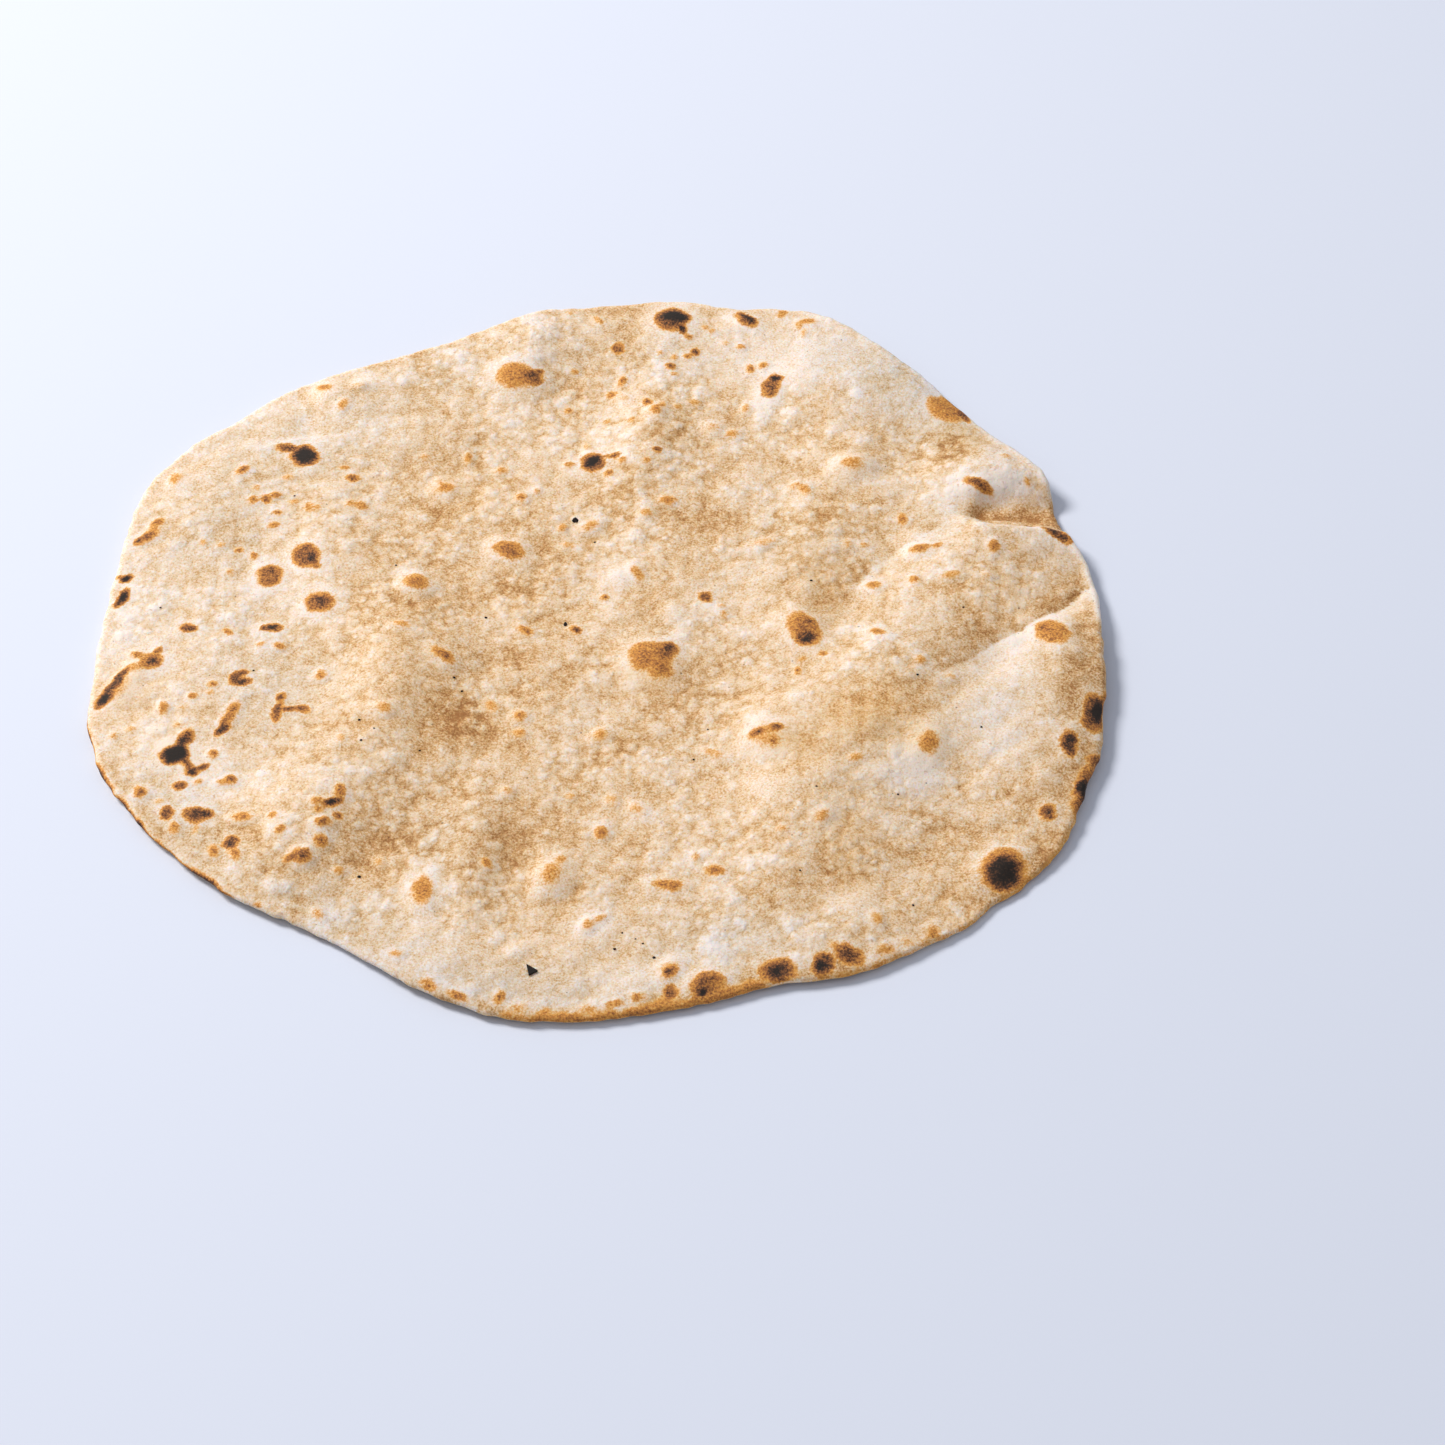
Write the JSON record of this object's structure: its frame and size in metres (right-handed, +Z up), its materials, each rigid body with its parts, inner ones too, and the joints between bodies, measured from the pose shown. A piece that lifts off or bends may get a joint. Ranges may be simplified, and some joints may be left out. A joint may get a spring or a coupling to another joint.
{
  "type": "chapati flatbread",
  "caption": "Thin round hand-rolled chapati with soft waves, folds at one side and a blistered, brown-spotted top, lying flat.",
  "frame": {"origin": "middle of the bread's outline, on the surface it lies on", "axes": "+Z up, out of the spotted face; +X towards the rim where the two folds end"},
  "size_m": [0.2136, 0.214, 0.0077],
  "materials": {
    "baked_dough": "matt, faintly floury whole-wheat crust, cream to golden, with brown and charred spots"
  },
  "bodies": {
    "root": {"chapati": "baked_dough"}
  },
  "joints": []
}
